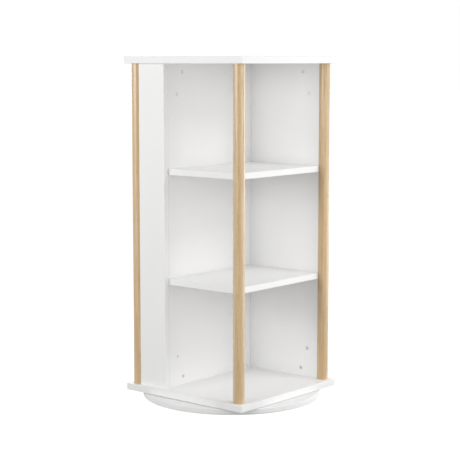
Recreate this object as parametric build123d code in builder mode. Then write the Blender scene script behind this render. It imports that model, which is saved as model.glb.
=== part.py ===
from build123d import *
import os
from dataclasses import dataclass
from math import sqrt

# Rotating bookshelf: a square white bookcase with round wooden columns at its corners, on a round base.
# Lengths are in millimetres. +Z is up and the origin is on the floor, under the middle of the base.
# The main compartments open towards -Y and +X, the narrow ones behind the divider open towards -X.

# Top and bottom boards
board_side = 400.0
board_thickness = 18.0
board_corner_radius = 2.0
board_edge_radius = 1.2

# Upright panels and shelves
panel_thickness = 16.0
panel_edge_radius = 0.5
divider_edge_radius = 2.0
shelf_edge_radius = 1.0
lower_tier_height = 275.5
middle_tier_height = 272.5
upper_tier_height = 271.0
narrow_depth = 112.0
shelf_inset_x = 34.0
narrow_shelf_gap = 0.5
notch_gap = 0.3

# Round columns
column_diameter = 30.0
column_inset_x = 27.0
column_inset_y = 22.0
column_end_chamfer = 0.5

# Base disc and its pads
base_diameter = 475.0
base_thickness = 15.0
base_edge_radius = 2.0
turning_gap = 1.0
pad_diameter = 25.0
pad_thickness = 2.0
pad_edge_chamfer = 0.4
pad_inset = 35.0
pad_count = 6

# Turntable bearing in the base disc's pocket
pocket_depth = 9.0
pocket_gap = 0.5
ring_width = 21.8
ring_edge_chamfer = 0.4
outer_ring_top_gap = 0.5
inner_ring_floor_gap = 1.0
ball_diameter = 6.0
ball_pitch_radius = 132.0
ball_count = 24
race_gap = 2.4
race_clearance = 0.08
cage_thickness = 1.2
cage_web = 0.75
cage_window_clearance = 0.15

# Screws of the bearing rings
ring_screw_count = 6
ring_screw_head_diameter = 8.0
ring_screw_shank_diameter = 4.0
outer_screw_floor = 1.5
inner_screw_bite = 11.0
access_hole_diameter = 14.0

# Screws and pins of the columns
column_screw_head_diameter = 12.0
column_screw_shank_diameter = 6.0
column_screw_bite = 42.0
column_pin_diameter = 10.0
column_pin_board_bite = 12.0
column_pin_column_bite = 28.0

# Cross recess in the screws, as shares of the head's diameter
recess_length_share = 0.55
recess_width_share = 0.13
recess_depth_share = 0.2

# Cams and the bolts that they pull on
cam_diameter = 10.0
cam_web = 3.5
cam_recess = 0.2
cam_cross_length = 6.0
cam_cross_width = 1.3
cam_cross_depth = 2.0
bolt_diameter = 6.0
bolt_neck_diameter = 3.6
bolt_neck_length = 4.0
bolt_head_length = 3.0
bolt_bite = 11.0
end_cam_setback = 34.0
end_cam_height = 79.0
board_cam_setback = 22.0
board_cam_inset = 55.0
end_panel_cam_inset = 50.0
shelf_cam_inset = 50.0

# Wooden dowels between the panels and the boards
dowel_diameter = 8.0
dowel_face_bite = 12.0
dowel_edge_bite = 18.0
dowel_end_chamfer = 0.6
board_dowel_inset = 110.0
end_panel_dowel_inset = 22.0
end_dowel_height = 180.0

# Pins under the narrow shelves
shelf_pin_diameter = 5.0
shelf_pin_bite = 9.0
shelf_pin_reach = 8.0
shelf_pin_inset = 16.0

# Clearances around hardware
hardware_clearance = 0.1
hole_end_clearance = 0.5

# Heights
base_bottom = pad_thickness
base_top = base_bottom + base_thickness
board_bottom = base_top + turning_gap
cabinet_floor = board_bottom + board_thickness
lower_shelf_bottom = cabinet_floor + lower_tier_height
upper_shelf_bottom = lower_shelf_bottom + panel_thickness + middle_tier_height
cabinet_ceiling = upper_shelf_bottom + panel_thickness + upper_tier_height
cabinet_height = cabinet_ceiling - cabinet_floor

# Places in plan
half_side = board_side / 2
half_panel = panel_thickness / 2
column_radius = column_diameter / 2
column_x = half_side - column_inset_x
column_y = half_side - column_inset_y
column_flat = sqrt(column_radius**2 - half_panel**2)
panel_end_x = column_x - column_flat
inner_y = column_y - half_panel
divider_outer_x = narrow_depth - half_side
divider_x = divider_outer_x + half_panel
divider_inner_x = divider_outer_x + panel_thickness
shelf_front_x = half_side - shelf_inset_x
shelf_front_y = -inner_y
narrow_front_x = -shelf_front_x

# Bearing heights and radii
ball_radius = ball_diameter / 2
groove_radius = ball_radius + race_clearance
pocket_floor = base_top - pocket_depth
outer_ring_top = base_top - outer_ring_top_gap
inner_ring_bottom = pocket_floor + inner_ring_floor_gap
ball_height = (outer_ring_top + inner_ring_bottom) / 2
outer_ring_radius = ball_pitch_radius + race_gap / 2
inner_ring_radius = ball_pitch_radius - race_gap / 2
pocket_radius = outer_ring_radius + ring_width + pocket_gap
outer_screw_pitch = outer_ring_radius + ring_width / 2
inner_screw_pitch = inner_ring_radius - ring_width / 2
window_radius = ball_radius + cage_window_clearance
outer_screw_length = outer_ring_top - base_bottom - outer_screw_floor
inner_screw_length = board_bottom - inner_ring_bottom + inner_screw_bite
ring_shank_hole = ring_screw_shank_diameter / 2 + hardware_clearance
ring_head_hole = ring_screw_head_diameter / 2 + hardware_clearance

# Hardware radii and lengths
bolt_radius = bolt_diameter / 2
bolt_hole = bolt_radius + hardware_clearance
bolt_overrun = bolt_head_length / 2
cam_radius = cam_diameter / 2
cam_height = panel_thickness - cam_web
dowel_radius = dowel_diameter / 2
column_shank_hole = column_screw_shank_diameter / 2 + hardware_clearance
column_head_hole = column_screw_head_diameter / 2 + hardware_clearance
column_pin_radius = column_pin_diameter / 2
shelf_pin_radius = shelf_pin_diameter / 2

up = Vector(0, 0, 1)
down = Vector(0, 0, -1)
left = Vector(-1, 0, 0)
right = Vector(1, 0, 0)
front = Vector(0, -1, 0)
rear = Vector(0, 1, 0)


@dataclass(frozen=True)
class Drilling:
    """A round hole whose mouth plane faces out of the hole."""

    mouth: Plane
    radius: float
    depth: float


@dataclass(frozen=True)
class PinJoint:
    """A round pin whose axis crosses the joint at its seat and points out of the edge piece."""

    seat: Vector
    axis: Vector
    radius: float
    edge_bite: float
    face_bite: float

    def in_edge_piece(self) -> list[Drilling]:
        """Holes in the piece that the axis points out of."""
        depth = self.edge_bite + hole_end_clearance
        return [Drilling(Plane(self.seat, z_dir=self.axis), self.radius + hardware_clearance, depth)]

    def in_face_piece(self) -> list[Drilling]:
        """Holes in the piece that the axis points into."""
        depth = self.face_bite + hole_end_clearance
        return [Drilling(Plane(self.seat, z_dir=-self.axis), self.radius + hardware_clearance, depth)]


@dataclass(frozen=True)
class CamJoint:
    """A bolt fixed in one piece and pulled by a cam that is let into the face of another."""

    seat: Vector
    axis: Vector
    cam_faces: Vector
    setback: float

    def cam_plane(self) -> Plane:
        """Plane of the cam's visible end, with its X axis along the bolt."""
        centre = self.seat - self.axis * self.setback + self.cam_faces * half_panel
        return Plane(centre, x_dir=self.axis, z_dir=self.cam_faces)

    def bolt_plane(self) -> Plane:
        """Plane of the joint, facing along the bolt."""
        return Plane(self.seat, z_dir=self.axis)

    def in_edge_piece(self) -> list[Drilling]:
        """Holes in the piece that holds the cam."""
        cam_depth = cam_recess + cam_height
        return [
            Drilling(self.cam_plane(), cam_radius + hardware_clearance, cam_depth),
            Drilling(self.bolt_plane(), bolt_hole, self.setback),
        ]

    def in_face_piece(self) -> list[Drilling]:
        """Holes in the piece that holds the bolt."""
        return [Drilling(Plane(self.seat, z_dir=-self.axis), bolt_hole, bolt_bite + hole_end_clearance)]


def edge_holes(joints: list) -> list[Drilling]:
    """Holes of several joints in their edge piece."""
    return [hole for joint in joints for hole in joint.in_edge_piece()]


def face_holes(joints: list) -> list[Drilling]:
    """Holes of several joints in their face piece."""
    return [hole for joint in joints for hole in joint.in_face_piece()]


def board_cams(x: float, y: float, cam_faces: Vector, height: float, axis: Vector) -> CamJoint:
    """Upright cam joint of a panel with the bottom or the top board."""
    return CamJoint(Vector(x, y, height), axis, cam_faces, board_cam_setback)


def dowel(seat: Vector, axis: Vector) -> PinJoint:
    """Wooden dowel across a joint."""
    return PinJoint(seat, axis, dowel_radius, dowel_edge_bite, dowel_face_bite)


# Joints of the upright panels with the two boards
board_levels = [(cabinet_floor, down), (cabinet_ceiling, up)]
side_cam_x = panel_end_x - board_cam_inset
side_dowel_x = panel_end_x - board_dowel_inset
divider_cam_y = inner_y - board_cam_inset
divider_dowel_y = inner_y - board_dowel_inset
end_cam_x = end_panel_cam_inset - panel_end_x
end_dowel_x = end_panel_dowel_inset - panel_end_x

side_board_joints = {}
divider_board_joints = {}
end_board_joints = {}
for level, axis in board_levels:
    side_board_joints[level] = [
        board_cams(-side_cam_x, column_y, front, level, axis),
        board_cams(side_cam_x, column_y, front, level, axis),
        dowel(Vector(-side_dowel_x, column_y, level), axis),
        dowel(Vector(side_dowel_x, column_y, level), axis),
    ]
    divider_board_joints[level] = [
        board_cams(divider_x, -divider_cam_y, right, level, axis),
        board_cams(divider_x, divider_cam_y, right, level, axis),
        dowel(Vector(divider_x, -divider_dowel_y, level), axis),
        dowel(Vector(divider_x, divider_dowel_y, level), axis),
    ]
    end_board_joints[level] = [
        board_cams(end_cam_x, -column_y, rear, level, axis),
        dowel(Vector(end_dowel_x, -column_y, level), axis),
    ]

# Joints of the upright panels with each other and with the columns
end_cam_levels = [cabinet_floor + end_cam_height, cabinet_ceiling - end_cam_height]
end_dowel_levels = [cabinet_floor + end_dowel_height, cabinet_ceiling - end_dowel_height]
divider_end_joints = []
divider_side_joints = []
side_right_joints = []
side_back_joints = []
end_left_joints = []
for level in end_cam_levels:
    divider_end_joints.append(CamJoint(Vector(divider_x, -inner_y, level), front, right, end_cam_setback))
    divider_side_joints.append(CamJoint(Vector(divider_x, inner_y, level), rear, right, end_cam_setback))
    side_right_joints.append(CamJoint(Vector(panel_end_x, column_y, level), right, front, end_cam_setback))
    side_back_joints.append(CamJoint(Vector(-panel_end_x, column_y, level), left, front, end_cam_setback))
    end_left_joints.append(CamJoint(Vector(-panel_end_x, -column_y, level), left, rear, end_cam_setback))
for level in end_dowel_levels:
    divider_end_joints.append(dowel(Vector(divider_x, -inner_y, level), front))
    divider_side_joints.append(dowel(Vector(divider_x, inner_y, level), rear))

# Joints of the main shelves with the divider and the side panel, their cams underneath
shelf_levels = {"lower": lower_shelf_bottom, "upper": upper_shelf_bottom}
shelf_divider_joints = {}
shelf_side_joints = {}
for name, level in shelf_levels.items():
    middle = level + half_panel
    shelf_divider_joints[name] = [
        CamJoint(Vector(divider_inner_x, y, middle), left, down, end_cam_setback)
        for y in (shelf_front_y + shelf_cam_inset, inner_y - 2 * shelf_cam_inset)
    ]
    shelf_side_joints[name] = [
        CamJoint(Vector(x, inner_y, middle), rear, down, end_cam_setback)
        for x in (divider_inner_x + shelf_cam_inset, shelf_front_x - shelf_cam_inset)
    ]

# Pins under the narrow shelves, in the end panel and in the side panel
pin_places_x = (narrow_front_x + shelf_pin_inset, divider_outer_x - shelf_pin_inset)
shelf_pins_front = []
shelf_pins_rear = []
for level in shelf_levels.values():
    for x in pin_places_x:
        pin_height = level - shelf_pin_radius
        seat_front = Vector(x, -inner_y, pin_height)
        seat_rear = Vector(x, inner_y, pin_height)
        shelf_pins_front.append(
            PinJoint(seat_front, front, shelf_pin_radius, shelf_pin_reach, shelf_pin_bite)
        )
        shelf_pins_rear.append(
            PinJoint(seat_rear, rear, shelf_pin_radius, shelf_pin_reach, shelf_pin_bite)
        )

# Columns: place in plan and the side on which a panel seats on a flat
column_places = {
    "front": (column_x, -column_y, 0, []),
    "left": (-column_x, -column_y, 1, end_left_joints),
    "right": (column_x, column_y, -1, side_right_joints),
    "back": (-column_x, column_y, 1, side_back_joints),
}
column_pin_joints = {}
column_screw_planes = {}
for name, (x, y, flat_side, joints) in column_places.items():
    pin_seat = Vector(x, y, cabinet_ceiling)
    column_pin_joints[name] = PinJoint(
        pin_seat, up, column_pin_radius, column_pin_column_bite, column_pin_board_bite
    )
    column_screw_planes[name] = Plane((x, y, board_bottom), z_dir=down)


def drill(holes: list[Drilling]) -> None:
    """Cut round holes out of the piece that is being built."""
    for hole in holes:
        with Locations(hole.mouth):
            Hole(hole.radius, hole.depth)


def make_board(bottom: float, holes: list[Drilling]) -> BuildPart:
    """Square board with rounded corners and edges."""
    with BuildPart() as board:
        with BuildSketch(Plane.XY.offset(bottom)):
            RectangleRounded(board_side, board_side, board_corner_radius)
        extrude(amount=board_thickness)
        rims = board.edges().group_by(Axis.Z)
        fillet(rims[0] + rims[-1], board_edge_radius)
        drill(holes)
    return board


def make_panel(low: Vector, high: Vector, edge_radius: float, holes: list[Drilling]) -> BuildPart:
    """Upright panel between two corners, with rounded upright edges and square ends."""
    size = high - low
    with BuildPart() as panel:
        with BuildSketch(Plane.XY.offset(low.Z)):
            with Locations((low.X + size.X / 2, low.Y + size.Y / 2)):
                Rectangle(size.X, size.Y)
        extrude(amount=size.Z)
        fillet(panel.edges().filter_by(Axis.Z), edge_radius)
        drill(holes)
    return panel


def make_shelf(low: Vector, high: Vector, notch_x: float, holes: list[Drilling]) -> BuildPart:
    """Shelf between two corners, with rounded edges and notches round the two columns at one side."""
    size = high - low
    with BuildPart() as shelf:
        with BuildSketch(Plane.XY.offset(low.Z)):
            with Locations((low.X + size.X / 2, low.Y + size.Y / 2)):
                Rectangle(size.X, size.Y)
        extrude(amount=size.Z)
        fillet(shelf.edges(), shelf_edge_radius)
        with BuildSketch(Plane.XY.offset(low.Z)):
            with Locations((notch_x, -column_y), (notch_x, column_y)):
                Circle(column_radius + notch_gap)
        extrude(amount=size.Z, mode=Mode.SUBTRACT)
        drill(holes)
    return shelf


def make_column(name: str) -> BuildPart:
    """Round column between the boards, with a flat where a panel seats on it."""
    x, y, flat_side, joints = column_places[name]
    with BuildPart() as column:
        with BuildSketch(Plane.XY.offset(cabinet_floor)):
            with Locations((x, y)):
                Circle(column_radius)
            if flat_side:
                with Locations((x + flat_side * (column_flat + column_radius), y)):
                    Rectangle(column_diameter, column_diameter, mode=Mode.SUBTRACT)
        extrude(amount=cabinet_height)
        rims = column.edges().group_by(Axis.Z)
        chamfer(rims[0] + rims[-1], column_end_chamfer)
        with Locations(Plane((x, y, cabinet_floor), z_dir=down)):
            Hole(column_shank_hole, column_screw_bite + hole_end_clearance)
        drill(column_pin_joints[name].in_edge_piece())
        drill(face_holes(joints))
    return column


def make_screw(head_diameter: float, shank_diameter: float, length: float) -> Part:
    """Countersunk cross-head screw with its head at the origin and its tip below."""
    head_radius = head_diameter / 2
    shank_radius = shank_diameter / 2
    with BuildPart() as screw:
        with BuildSketch(Plane.XZ):
            with BuildLine():
                Polyline(
                    (0, 0),
                    (head_radius, 0),
                    (shank_radius, shank_radius - head_radius),
                    (shank_radius, shank_radius - length),
                    (0, -length),
                    close=True,
                )
            make_face()
        revolve(axis=Axis.Z)
        with BuildSketch():
            Rectangle(recess_length_share * head_diameter, recess_width_share * head_diameter)
            Rectangle(recess_width_share * head_diameter, recess_length_share * head_diameter)
        extrude(amount=-recess_depth_share * head_diameter, mode=Mode.SUBTRACT)
    return screw.part


def make_pin(joint: PinJoint, end_chamfer: float) -> Part:
    """Round pin with chamfered ends, across the joint at the origin."""
    with BuildPart() as pin:
        with BuildSketch(Plane.XY.offset(-joint.edge_bite)):
            Circle(joint.radius)
        extrude(amount=joint.edge_bite + joint.face_bite)
        rims = pin.edges().group_by(Axis.Z)
        chamfer(rims[0] + rims[-1], end_chamfer)
    return pin.part


def make_cam() -> Part:
    """Cam lock with its visible end at the origin, a cross recess and a hole for the bolt from +X."""
    with BuildPart() as cam:
        with BuildSketch(Plane.XY.offset(-cam_recess)):
            Circle(cam_radius)
        extrude(amount=-cam_height)
        with Locations(Plane((cam_radius, 0, -half_panel), z_dir=right)):
            Hole(bolt_hole, cam_radius + bolt_overrun + hole_end_clearance)
        with BuildSketch(Plane.XY.offset(-cam_recess)):
            Rectangle(cam_cross_length, cam_cross_width)
            Rectangle(cam_cross_width, cam_cross_length)
        extrude(amount=-cam_cross_depth, mode=Mode.SUBTRACT)
    return cam.part


def make_cam_bolt(setback: float) -> Part:
    """Cam bolt across the joint at the origin: its neck and head lie below, its bite above."""
    head_end = -setback - bolt_overrun
    neck_end = head_end + bolt_head_length
    shank_end = neck_end + bolt_neck_length
    neck_radius = bolt_neck_diameter / 2
    with BuildPart() as bolt:
        with BuildSketch(Plane.XZ):
            with BuildLine():
                Polyline(
                    (0, head_end),
                    (bolt_radius, head_end),
                    (bolt_radius, neck_end),
                    (neck_radius, neck_end),
                    (neck_radius, shank_end),
                    (bolt_radius, shank_end),
                    (bolt_radius, bolt_bite),
                    (0, bolt_bite),
                    close=True,
                )
            make_face()
        revolve(axis=Axis.Z)
    return bolt.part


def make_ring(inner_radius: float, bottom: float, top: float) -> Part:
    """Bearing ring with a round ball groove in the wall beside the balls."""
    with BuildPart() as ring:
        with BuildSketch(Plane.XZ):
            with Locations((inner_radius + ring_width / 2, (bottom + top) / 2)):
                Rectangle(ring_width, top - bottom)
            with Locations((ball_pitch_radius, ball_height)):
                Circle(groove_radius, mode=Mode.SUBTRACT)
        revolve(axis=Axis.Z)
        rims = ring.edges().group_by(Axis.Z)
        chamfer(rims[0] + rims[-1], ring_edge_chamfer)
    return ring.part


# Base disc with the bearing's pocket, pilot holes and a hole for a screwdriver
with BuildPart() as base_disc:
    with BuildSketch(Plane.XY.offset(base_bottom)):
        Circle(base_diameter / 2)
    extrude(amount=base_thickness)
    fillet(base_disc.edges(), base_edge_radius)
    with Locations((0, 0, base_top)):
        Hole(pocket_radius, pocket_depth)
    with Locations((0, 0, pocket_floor)):
        with PolarLocations(outer_screw_pitch, ring_screw_count):
            Hole(ring_shank_hole, pocket_floor - base_bottom - outer_screw_floor + hole_end_clearance)
        with Locations((inner_screw_pitch, 0)):
            Hole(access_hole_diameter / 2, pocket_floor)

# Round pads under the base disc
with BuildPart() as foot_pads:
    with BuildSketch():
        with PolarLocations(base_diameter / 2 - pad_inset, pad_count):
            Circle(pad_diameter / 2)
    extrude(amount=pad_thickness)
    chamfer(foot_pads.edges().group_by(Axis.Z)[0], pad_edge_chamfer)

# Outer bearing ring, countersunk from above
outer_ring = make_ring(outer_ring_radius, pocket_floor, outer_ring_top)
with BuildPart() as bearing_outer_ring:
    add(outer_ring)
    with Locations((0, 0, outer_ring_top)):
        with PolarLocations(outer_screw_pitch, ring_screw_count):
            CounterSinkHole(ring_shank_hole, ring_head_hole, counter_sink_angle=90)

# Inner bearing ring, countersunk from below
inner_ring = make_ring(inner_ring_radius - ring_width, inner_ring_bottom, board_bottom)
with BuildPart() as bearing_inner_ring:
    add(inner_ring)
    with Locations(Plane((0, 0, inner_ring_bottom), z_dir=down)):
        with PolarLocations(inner_screw_pitch, ring_screw_count):
            CounterSinkHole(ring_shank_hole, ring_head_hole, counter_sink_angle=90)

# Screws that hold the outer ring to the base disc
outer_ring_screw = make_screw(ring_screw_head_diameter, ring_screw_shank_diameter, outer_screw_length)
with BuildPart() as outer_ring_screws:
    with Locations((0, 0, outer_ring_top)):
        with PolarLocations(outer_screw_pitch, ring_screw_count):
            add(outer_ring_screw)

# Screws that hold the inner ring to the bottom board
inner_ring_screw = make_screw(ring_screw_head_diameter, ring_screw_shank_diameter, inner_screw_length)
with BuildPart() as inner_ring_screws:
    with Locations(Plane((0, 0, inner_ring_bottom), z_dir=down)):
        with PolarLocations(inner_screw_pitch, ring_screw_count):
            add(inner_ring_screw)

# Cage between the rings, with a window for each ball
with BuildPart() as ball_cage:
    with BuildSketch(Plane.XY.offset(ball_height)):
        Circle(ball_pitch_radius + cage_thickness / 2)
        Circle(ball_pitch_radius - cage_thickness / 2, mode=Mode.SUBTRACT)
    extrude(amount=window_radius + cage_web, both=True)
    with Locations((0, 0, ball_height)):
        with PolarLocations(ball_pitch_radius, ball_count):
            Cylinder(window_radius, 2 * race_gap, rotation=(0, 90, 0), mode=Mode.SUBTRACT)

# Balls in the cage's windows
with BuildPart() as bearing_balls:
    with Locations((0, 0, ball_height)):
        with PolarLocations(ball_pitch_radius, ball_count):
            Sphere(ball_radius)

# Bottom board, drilled for the panels, the columns' screws and the inner ring's screws
bottom_joints = (
    side_board_joints[cabinet_floor] + divider_board_joints[cabinet_floor] + end_board_joints[cabinet_floor]
)
bottom_blank = make_board(board_bottom, face_holes(bottom_joints))
with BuildPart() as bottom_board:
    add(bottom_blank.part)
    with Locations(*column_screw_planes.values()):
        CounterSinkHole(column_shank_hole, column_head_hole, counter_sink_angle=90)
    with Locations(Plane((0, 0, board_bottom), z_dir=down)):
        with PolarLocations(inner_screw_pitch, ring_screw_count):
            Hole(ring_shank_hole, inner_screw_bite + hole_end_clearance)

# Top board, drilled underneath for the panels and the columns' pins
top_joints = (
    side_board_joints[cabinet_ceiling]
    + divider_board_joints[cabinet_ceiling]
    + end_board_joints[cabinet_ceiling]
    + list(column_pin_joints.values())
)
top_board = make_board(cabinet_ceiling, face_holes(top_joints))

# Columns at the four corners
columns = {name: make_column(name) for name in column_places}

# Screws from under the bottom board into the columns
column_screw = make_screw(
    column_screw_head_diameter, column_screw_shank_diameter, board_thickness + column_screw_bite
)
with BuildPart() as column_screws:
    with Locations(*column_screw_planes.values()):
        add(column_screw)

# Wooden pins from the columns into the top board
column_pin = make_pin(column_pin_joints["front"], dowel_end_chamfer)
with BuildPart() as column_pins:
    with Locations(*[Plane(joint.seat, z_dir=joint.axis) for joint in column_pin_joints.values()]):
        add(column_pin)

# Narrow end panel beside the left column
end_panel = make_panel(
    Vector(-panel_end_x, -column_y - half_panel, cabinet_floor),
    Vector(divider_inner_x, -inner_y, cabinet_ceiling),
    panel_edge_radius,
    edge_holes(end_board_joints[cabinet_floor] + end_board_joints[cabinet_ceiling] + end_left_joints)
    + face_holes(divider_end_joints + shelf_pins_front),
)

# Divider between the main and the narrow compartments
divider_panel = make_panel(
    Vector(divider_outer_x, -inner_y, cabinet_floor),
    Vector(divider_inner_x, inner_y, cabinet_ceiling),
    divider_edge_radius,
    edge_holes(divider_board_joints[cabinet_floor] + divider_board_joints[cabinet_ceiling])
    + edge_holes(divider_end_joints + divider_side_joints)
    + face_holes(shelf_divider_joints["lower"] + shelf_divider_joints["upper"]),
)

# Side panel between the right and the back columns
side_panel = make_panel(
    Vector(-panel_end_x, inner_y, cabinet_floor),
    Vector(panel_end_x, column_y + half_panel, cabinet_ceiling),
    panel_edge_radius,
    edge_holes(side_board_joints[cabinet_floor] + side_board_joints[cabinet_ceiling])
    + edge_holes(side_right_joints + side_back_joints)
    + face_holes(divider_side_joints + shelf_pins_rear)
    + face_holes(shelf_side_joints["lower"] + shelf_side_joints["upper"]),
)

# Main shelves and narrow shelves, at the same two levels
shelves = {}
narrow_shelves = {}
for name, level in shelf_levels.items():
    shelves[name] = make_shelf(
        Vector(divider_inner_x, shelf_front_y, level),
        Vector(shelf_front_x, inner_y, level + panel_thickness),
        column_x,
        edge_holes(shelf_divider_joints[name] + shelf_side_joints[name]),
    )
    narrow_shelves[name] = make_shelf(
        Vector(narrow_front_x, narrow_shelf_gap - inner_y, level),
        Vector(divider_outer_x - narrow_shelf_gap, inner_y - narrow_shelf_gap, level + panel_thickness),
        -column_x,
        [],
    )

# Pins under the narrow shelves
shelf_pin = make_pin(shelf_pins_front[0], dowel_end_chamfer)
with BuildPart() as shelf_pins:
    with Locations(*[Plane(joint.seat, z_dir=joint.axis) for joint in shelf_pins_front + shelf_pins_rear]):
        add(shelf_pin)

# Every joint, for the hardware that crosses it
all_joints = (
    bottom_joints
    + [joint for joint in top_joints if joint not in column_pin_joints.values()]
    + divider_end_joints
    + divider_side_joints
    + side_right_joints
    + side_back_joints
    + end_left_joints
)
for name in shelf_levels:
    all_joints += shelf_divider_joints[name] + shelf_side_joints[name]
cam_joints = [joint for joint in all_joints if isinstance(joint, CamJoint)]
dowel_joints = [joint for joint in all_joints if isinstance(joint, PinJoint)]

# Cams in the faces of the panels and under the shelves
cam = make_cam()
with BuildPart() as cam_locks:
    with Locations(*[joint.cam_plane() for joint in cam_joints]):
        add(cam)

# Bolts that the cams pull on, in two lengths
cam_bolt_lengths = {setback: make_cam_bolt(setback) for setback in (end_cam_setback, board_cam_setback)}
with BuildPart() as cam_bolts:
    for setback, cam_bolt in cam_bolt_lengths.items():
        with Locations(*[joint.bolt_plane() for joint in cam_joints if joint.setback == setback]):
            add(cam_bolt)

# Wooden dowels that line the panels up
wood_dowel = make_pin(dowel_joints[0], dowel_end_chamfer)
with BuildPart() as wood_dowels:
    with Locations(*[Plane(joint.seat, z_dir=joint.axis) for joint in dowel_joints]):
        add(wood_dowel)

# Every piece in its own file
pieces = {
    "base_disc": base_disc,
    "foot_pads": foot_pads,
    "bearing_outer_ring": bearing_outer_ring,
    "outer_ring_screws": outer_ring_screws,
    "ball_cage": ball_cage,
    "bearing_balls": bearing_balls,
    "bearing_inner_ring": bearing_inner_ring,
    "inner_ring_screws": inner_ring_screws,
    "bottom_board": bottom_board,
    "top_board": top_board,
    "column_screws": column_screws,
    "column_pins": column_pins,
    "end_panel": end_panel,
    "divider_panel": divider_panel,
    "side_panel": side_panel,
    "shelf_pins": shelf_pins,
    "cam_locks": cam_locks,
    "cam_bolts": cam_bolts,
    "wood_dowels": wood_dowels,
}
pieces |= {f"column_{name}": column for name, column in columns.items()}
pieces |= {f"shelf_{name}": shelf for name, shelf in shelves.items()}
pieces |= {f"narrow_shelf_{name}": shelf for name, shelf in narrow_shelves.items()}

os.makedirs("parts", exist_ok=True)
for name, piece in pieces.items():
    piece.part.label = name
    export_step(piece.part, f"parts/{name}.step")
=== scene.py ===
"""Rotating bookshelf: white lacquered boards and beech columns on a turntable, dressed over its frame."""

import logging
import math
from abc import ABC, abstractmethod
from dataclasses import dataclass, field
from enum import Enum
from itertools import pairwise
from typing import Any, ClassVar, Sequence

import bmesh
import bpy
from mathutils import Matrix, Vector

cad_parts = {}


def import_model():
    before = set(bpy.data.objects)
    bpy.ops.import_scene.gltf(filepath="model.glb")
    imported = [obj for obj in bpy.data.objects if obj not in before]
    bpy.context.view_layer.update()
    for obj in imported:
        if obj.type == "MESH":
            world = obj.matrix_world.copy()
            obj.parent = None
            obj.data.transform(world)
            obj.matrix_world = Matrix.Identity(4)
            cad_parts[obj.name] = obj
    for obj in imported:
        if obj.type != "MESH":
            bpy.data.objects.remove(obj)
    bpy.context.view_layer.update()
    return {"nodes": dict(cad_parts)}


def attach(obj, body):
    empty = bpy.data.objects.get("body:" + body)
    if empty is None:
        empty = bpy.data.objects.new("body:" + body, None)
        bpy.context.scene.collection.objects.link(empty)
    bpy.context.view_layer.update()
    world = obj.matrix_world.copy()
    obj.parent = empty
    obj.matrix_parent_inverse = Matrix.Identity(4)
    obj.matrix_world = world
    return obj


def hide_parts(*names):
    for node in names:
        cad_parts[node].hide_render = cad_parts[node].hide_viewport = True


log = logging.getLogger("rotating_bookshelf")

MM = 0.001

# Facets round a turned form, and the angle past which an edge of it stays crisp
SIDES = 40
CREASE = math.radians(32)
WELD = 0.001 * MM

# How far the middle edge of a rounding lies in from its corner, as a share of the radius
ROUND_MIDDLE = 0.3

# Directions that repeated forms stand and turn to, and the axis from front to back
UP = Vector((0, 0, 1))
ASIDE = Vector((1, 0, 0))
Y_AXIS = 1

# Places of a thread's crest and of its flank's foot from the middle of its root, as shares of a turn's rise
THREAD_CREST = 0.5
THREAD_FLANK = 0.28

# The Mix node's colour sockets share their names with its other sockets, so they go by their place
MIX_FACTOR, MIX_FROM, MIX_TO, MIX_COLOUR = 0, 6, 7, 2

# A Wave texture of scale 1 has 20 radians to the metre
WAVE_RADIANS = 20.0

Node = bpy.types.Node
Socket = bpy.types.NodeSocket
Tree = bpy.types.NodeTree
Material = bpy.types.Material
Piece = bpy.types.Object


class Body(Enum):
    """Bodies of the frame that new pieces ride on."""

    BASE = "base"
    BALL_CAGE = "ball_cage"
    CABINET = "cabinet"


class Slot(Enum):
    """Material slots of the record, named for the finishes of the new pieces."""

    FELT = "felt"
    BEARING_STEEL = "bearing_steel"
    CAM_ZINC = "cam_zinc"
    ZINC_STEEL = "zinc_steel"


def linear(hex_code: str) -> tuple[float, float, float, float]:
    """Turn an sRGB colour into a linear one.

    Args:
        hex_code: Colour as "#RRGGBB".

    Returns:
        Linear red, green and blue, and an alpha of 1.
    """
    shares = [int(hex_code[place : place + 2], 16) / 255 for place in (1, 3, 5)]
    red, green, blue = (s / 12.92 if s <= 0.04045 else ((s + 0.055) / 1.055) ** 2.4 for s in shares)
    return red, green, blue, 1.0


def per_metre(size_mm: float) -> float:
    """Scale at which one feature of a texture is this many millimetres wide."""
    return 1.0 / (size_mm * MM)


def add_node(tree: Tree, kind: str, inputs: dict[Any, Any] | None = None, **settings: Any) -> Node:
    """Add a node to a tree, with its settings, values and links.

    Args:
        tree: Shader or geometry tree that gets the node.
        kind: Blender's name for the node's type.
        inputs: For each input's name or place, a value, a socket to link, or a list of sockets.
        settings: Properties of the node.

    Returns:
        The new node.
    """
    node = tree.nodes.new(kind)
    for name, setting in settings.items():
        setattr(node, name, setting)
    for key, given in (inputs or {}).items():
        sources = given if isinstance(given, list) else [given]
        if isinstance(sources[0], Socket):
            for source in sources:
                tree.links.new(source, node.inputs[key])
        else:
            node.inputs[key].default_value = given
    return node


def empty_tree(owner: Material | bpy.types.World) -> Tree:
    """Give a material or a world an empty node tree and return it."""
    owner.use_nodes = True
    owner.node_tree.nodes.clear()
    return owner.node_tree


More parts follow.
